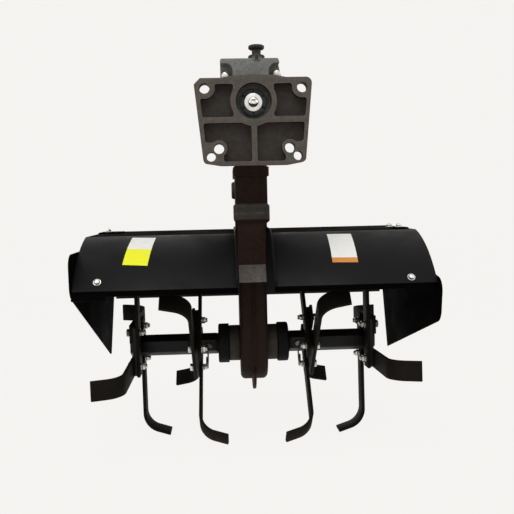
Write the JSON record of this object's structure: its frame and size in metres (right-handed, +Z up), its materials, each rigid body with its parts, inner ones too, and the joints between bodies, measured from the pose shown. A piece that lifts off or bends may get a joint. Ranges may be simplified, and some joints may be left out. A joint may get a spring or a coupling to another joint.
{
  "type": "rotary tiller attachment for a walk-behind tractor",
  "caption": "Rotary tiller attachment: ribbed mounting plate, gear housing, narrow drive leg, bent-sheet hood with end plates, and a cross rotor of bent blades.",
  "frame": {"origin": "centre of the pilot bore, on the mounting face of the flange plate", "axes": "+X to the right as seen from the tractor, +Y rearwards along the input axis, +Z up"},
  "size_m": [0.512, 0.3909, 0.6058],
  "materials": {
    "plate_casting": "bare casting, machined face",
    "housing_casting": "grey painted casting",
    "leg_casting": "dark brown oiled casting",
    "black_plastic": "matte black",
    "bright_steel": "bright turned steel",
    "dark_steel": "dark steel",
    "hood_paint": "satin black paint",
    "rotor_paint": "black paint",
    "tine_steel": "black paint on spring steel"
  },
  "bodies": {
    "frame": {"bearing_cap_left": "leg_casting", "bearing_cap_right": "leg_casting", "bearing_hub_left": "leg_casting", "bearing_hub_right": "leg_casting", "bevel_housing": "housing_casting", "end_bracket_left": "hood_paint", "end_bracket_right": "hood_paint", "filler_plug": "black_plastic", "flange_plate": "plate_casting", "gearcase_left": "leg_casting", "gearcase_right": "leg_casting", "hood": "hood_paint", "hood_bracket_left": "hood_paint", "hood_bracket_right": "hood_paint", "keel_fin": "leg_casting", "leg_column": "leg_casting", "leg_neck": "leg_casting", "rear_cover": "housing_casting", "side_plate_left": "hood_paint", "side_plate_right": "hood_paint"},
    "input": {"dog_coupling": "dark_steel", "input_shaft": "bright_steel"},
    "rotor": {"hex_tube_left": "rotor_paint", "hex_tube_right": "rotor_paint", "rotor_shaft": "dark_steel", "tine_flange_left_inner": "rotor_paint", "tine_flange_left_outer": "rotor_paint", "tine_flange_right_inner": "rotor_paint", "tine_flange_right_outer": "rotor_paint", "tine_left_inner_down": "tine_steel", "tine_left_inner_front": "tine_steel", "tine_left_inner_rear": "tine_steel", "tine_left_inner_up": "tine_steel", "tine_left_outer_down": "tine_steel", "tine_left_outer_front": "tine_steel", "tine_left_outer_rear": "tine_steel", "tine_left_outer_up": "tine_steel", "tine_right_inner_down": "tine_steel", "tine_right_inner_front": "tine_steel", "tine_right_inner_rear": "tine_steel", "tine_right_inner_up": "tine_steel", "tine_right_outer_down": "tine_steel", "tine_right_outer_front": "tine_steel", "tine_right_outer_rear": "tine_steel", "tine_right_outer_up": "tine_steel"}
  },
  "joints": [
    {"name": "rotor_spin", "type": "hinge", "parent": "frame", "child": "rotor", "pos_m": [0, 0.225, -0.365], "axis": [1, 0, 0], "continuous": true},
    {"name": "input_spin", "type": "hinge", "parent": "frame", "child": "input", "pos_m": [0, 0, 0], "axis": [0, 1, 0], "continuous": true}
  ],
  "couplings": [
    {"joint": "input_spin", "follows": "rotor_spin", "ratio": 3}
  ]
}
